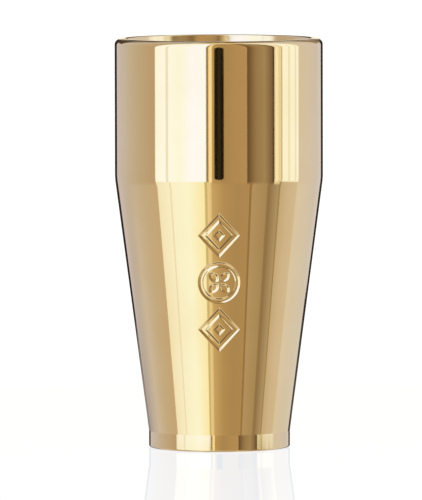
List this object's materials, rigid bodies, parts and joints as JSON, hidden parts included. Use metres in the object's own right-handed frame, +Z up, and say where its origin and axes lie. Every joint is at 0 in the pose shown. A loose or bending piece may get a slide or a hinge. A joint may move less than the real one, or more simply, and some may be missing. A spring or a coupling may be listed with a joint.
{
  "type": "bar jigger",
  "caption": "Double-ended bar jigger: tall tapered gold-coloured sleeve with an engraved front, a large measuring cup in its top and a small one in its foot.",
  "frame": {"origin": "centre of the foot's bottom face, on the axis of revolution", "axes": "+Z up the axis of revolution, from the small cup's mouth to the large cup's mouth; -Y out of the engraved front"},
  "size_m": [0.046, 0.046, 0.0904],
  "materials": {
    "gold_sleeve": "turned brass, mirror-polished and gold-plated",
    "gold_cup": "drawn brass, polished and gold-plated",
    "raw_brass": "turned brass, unplated",
    "steel": "stainless steel",
    "seal_rubber": "black food-grade rubber"
  },
  "bodies": {
    "root": {"outer_sleeve": "gold_sleeve", "upper_cup": "gold_cup", "lower_cup": "gold_cup", "upper_seal": "seal_rubber", "lower_seal": "seal_rubber", "upper_boss": "raw_brass", "lower_boss": "raw_brass", "tie_screw": "steel"}
  },
  "joints": []
}
